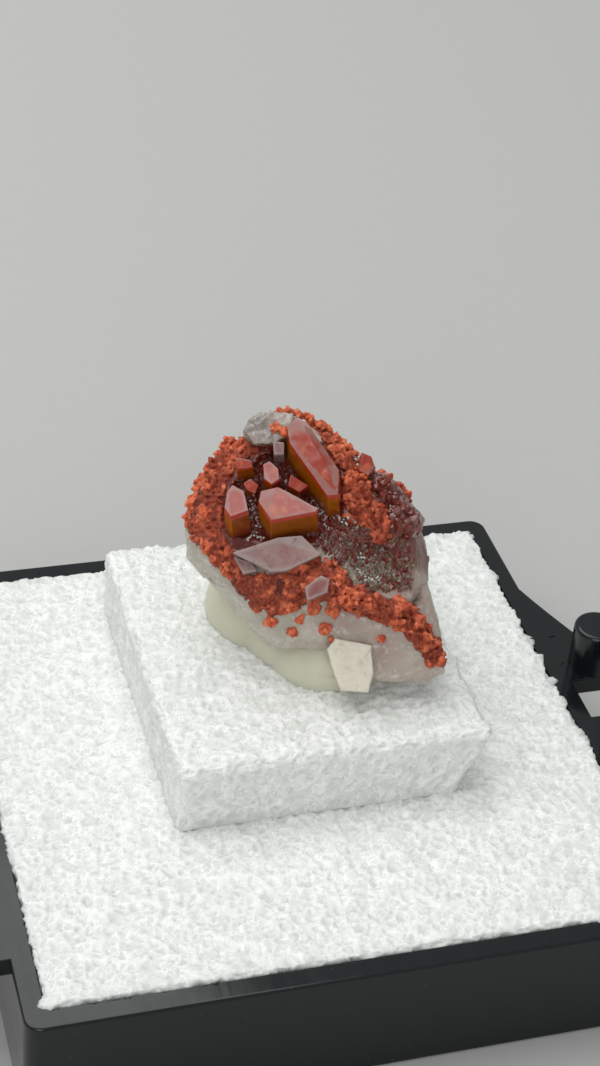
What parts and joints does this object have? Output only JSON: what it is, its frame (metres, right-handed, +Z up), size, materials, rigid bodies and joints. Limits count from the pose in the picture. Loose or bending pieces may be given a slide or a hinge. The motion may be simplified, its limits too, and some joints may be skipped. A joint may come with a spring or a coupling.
{
  "type": "hematoid quartz cluster",
  "caption": "Small red hematoid quartz cluster held by putty on a foam riser in the foam-lined base of a black display box.",
  "frame": {"origin": "centre of the tray's underside", "axes": "+Z up, +X from the thumb ledge towards the hinge, +Y away from the crystal face"},
  "size_m": [0.0368, 0.0316, 0.021],
  "materials": {
    "black_plastic": "polished injection-moulded styrene",
    "foam": "cut closed-cell foam, fine torn cells",
    "putty": "satin mineral putty",
    "quartz": "clear to red quartz with dull red iron-stained crust"
  },
  "bodies": {
    "root": {"tray": "black_plastic", "foam_liner": "foam", "foam_riser": "foam", "putty": "putty", "quartz_cluster": "quartz"}
  },
  "joints": []
}
